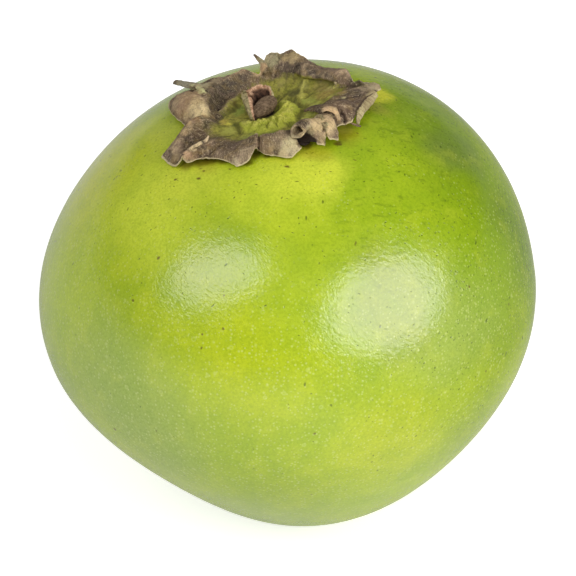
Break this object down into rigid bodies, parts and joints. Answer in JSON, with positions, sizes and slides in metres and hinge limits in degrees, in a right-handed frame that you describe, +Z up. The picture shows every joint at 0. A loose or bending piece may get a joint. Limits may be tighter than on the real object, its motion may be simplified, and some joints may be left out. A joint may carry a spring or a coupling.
{
  "type": "black sapote",
  "caption": "Whole unripe black sapote: a round green berry resting on a small flat spot, with its withered lobed calyx and broken stalk end on top.",
  "frame": {"origin": "the middle of the flat spot under the fruit, on the surface it rests on", "axes": "+Z up, out of the surface it rests on; -Y faces the viewer of the front, with the calyx on top; the fruit's own axis leans 8.6 degrees from +Z towards -X"},
  "size_m": [0.0997, 0.1005, 0.0935],
  "materials": {
    "skin": "satin, waxy",
    "calyx": "dry, leathery, matt",
    "bark": "torn, matt",
    "core": "dry, matt"
  },
  "bodies": {
    "root": {"fruit": "skin", "calyx": "calyx", "stalk_sleeve": "bark", "stalk_core": "core"}
  },
  "joints": []
}
